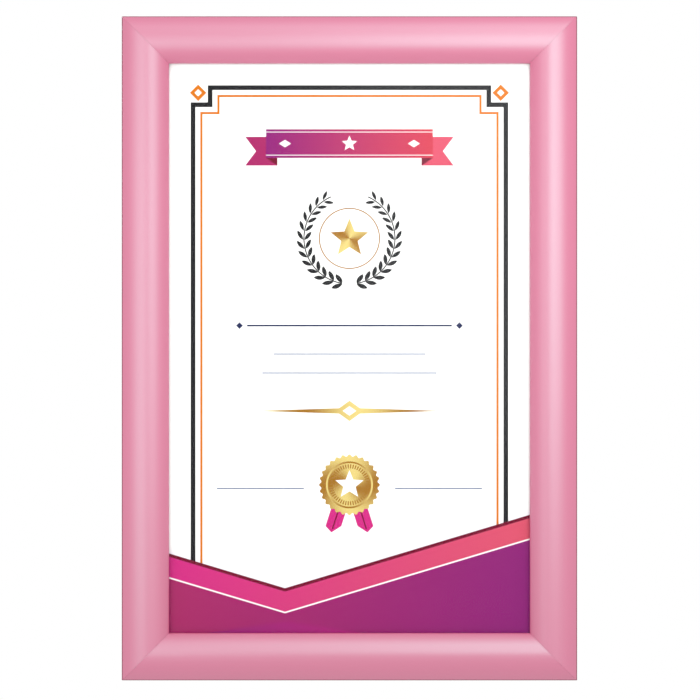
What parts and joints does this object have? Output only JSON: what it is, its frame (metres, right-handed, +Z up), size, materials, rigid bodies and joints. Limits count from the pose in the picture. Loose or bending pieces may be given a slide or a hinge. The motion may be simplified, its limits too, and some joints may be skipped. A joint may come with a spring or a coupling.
{
  "type": "snap frame",
  "caption": "Wall-hung snap frame with mitred, spring-held front rails that hinge open to change the print behind a clear cover.",
  "frame": {"origin": "on the wall plane behind the middle of the top base rail, on the line of its wall screws", "axes": "+Z up, -Y out of the wall towards the viewer, +X to the viewer's right"},
  "size_m": [0.24, 0.0125, 0.35],
  "materials": {
    "front_rail": "satin pink coating",
    "base_rail": "satin deep pink coating",
    "spring": "bright rolled spring steel",
    "corner_key": "zinc plated, stamped",
    "set_screw": "black oxide",
    "back_panel": "matt off-white polystyrene sheet",
    "print_sheet": "smooth card, printed",
    "cover_sheet": "clear sheet"
  },
  "bodies": {
    "base_frame": {"base_rail_bottom": "base_rail", "base_rail_right": "base_rail", "base_rail_top": "base_rail", "base_rail_left": "base_rail", "corner_key_bottom_left": "corner_key", "corner_key_bottom_right": "corner_key", "corner_key_top_right": "corner_key", "corner_key_top_left": "corner_key", "set_screw_bottom_left_1": "set_screw", "set_screw_bottom_left_2": "set_screw", "set_screw_bottom_right_1": "set_screw", "set_screw_bottom_right_2": "set_screw", "set_screw_top_right_1": "set_screw", "set_screw_top_right_2": "set_screw", "set_screw_top_left_1": "set_screw", "set_screw_top_left_2": "set_screw", "back_panel": "back_panel", "print_sheet": "print_sheet", "cover_sheet": "cover_sheet"},
    "front_bottom": {"front_rail_bottom": "front_rail"},
    "springs_bottom": {"spring_bottom_1": "spring", "spring_bottom_2": "spring"},
    "front_right": {"front_rail_right": "front_rail"},
    "springs_right": {"spring_right_1": "spring", "spring_right_2": "spring", "spring_right_3": "spring"},
    "front_top": {"front_rail_top": "front_rail"},
    "springs_top": {"spring_top_1": "spring", "spring_top_2": "spring"},
    "front_left": {"front_rail_left": "front_rail"},
    "springs_left": {"spring_left_1": "spring", "spring_left_2": "spring", "spring_left_3": "spring"}
  },
  "joints": [
    {"name": "front_bottom_hinge", "type": "hinge", "parent": "base_frame", "child": "front_bottom", "pos_m": [0, -0.00481, -0.33703], "axis": [1, 0, 0], "range_deg": [0, 90]},
    {"name": "springs_bottom_turn", "type": "hinge", "parent": "base_frame", "child": "springs_bottom", "pos_m": [0, -0.00515, -0.32627], "axis": [1, 0, 0], "range_deg": [-42.4, 0], "deforming": ["spring_bottom_1", "spring_bottom_2"]},
    {"name": "front_right_hinge", "type": "hinge", "parent": "base_frame", "child": "front_right", "pos_m": [0.1178, -0.00481, -0.16423], "axis": [0, 0, 1], "range_deg": [0, 90]},
    {"name": "springs_right_turn", "type": "hinge", "parent": "base_frame", "child": "springs_right", "pos_m": [0.10705, -0.00515, -0.16423], "axis": [0, 0, 1], "range_deg": [-42.4, 0], "deforming": ["spring_right_1", "spring_right_2", "spring_right_3"]},
    {"name": "front_top_hinge", "type": "hinge", "parent": "base_frame", "child": "front_top", "pos_m": [0, -0.00481, 0.00857], "axis": [-1, 0, 0], "range_deg": [0, 90]},
    {"name": "springs_top_turn", "type": "hinge", "parent": "base_frame", "child": "springs_top", "pos_m": [0, -0.00515, -0.00217], "axis": [-1, 0, 0], "range_deg": [-42.4, 0], "deforming": ["spring_top_1", "spring_top_2"]},
    {"name": "front_left_hinge", "type": "hinge", "parent": "base_frame", "child": "front_left", "pos_m": [-0.1178, -0.00481, -0.16423], "axis": [0, 0, -1], "range_deg": [0, 90]},
    {"name": "springs_left_turn", "type": "hinge", "parent": "base_frame", "child": "springs_left", "pos_m": [-0.10705, -0.00515, -0.16423], "axis": [0, 0, -1], "range_deg": [-42.4, 0], "deforming": ["spring_left_1", "spring_left_2", "spring_left_3"]}
  ],
  "couplings": [
    {"joint": "springs_bottom_turn", "follows": "front_bottom_hinge", "ratio": -0.47098},
    {"joint": "springs_right_turn", "follows": "front_right_hinge", "ratio": -0.47098},
    {"joint": "springs_top_turn", "follows": "front_top_hinge", "ratio": -0.47098},
    {"joint": "springs_left_turn", "follows": "front_left_hinge", "ratio": -0.47098}
  ]
}
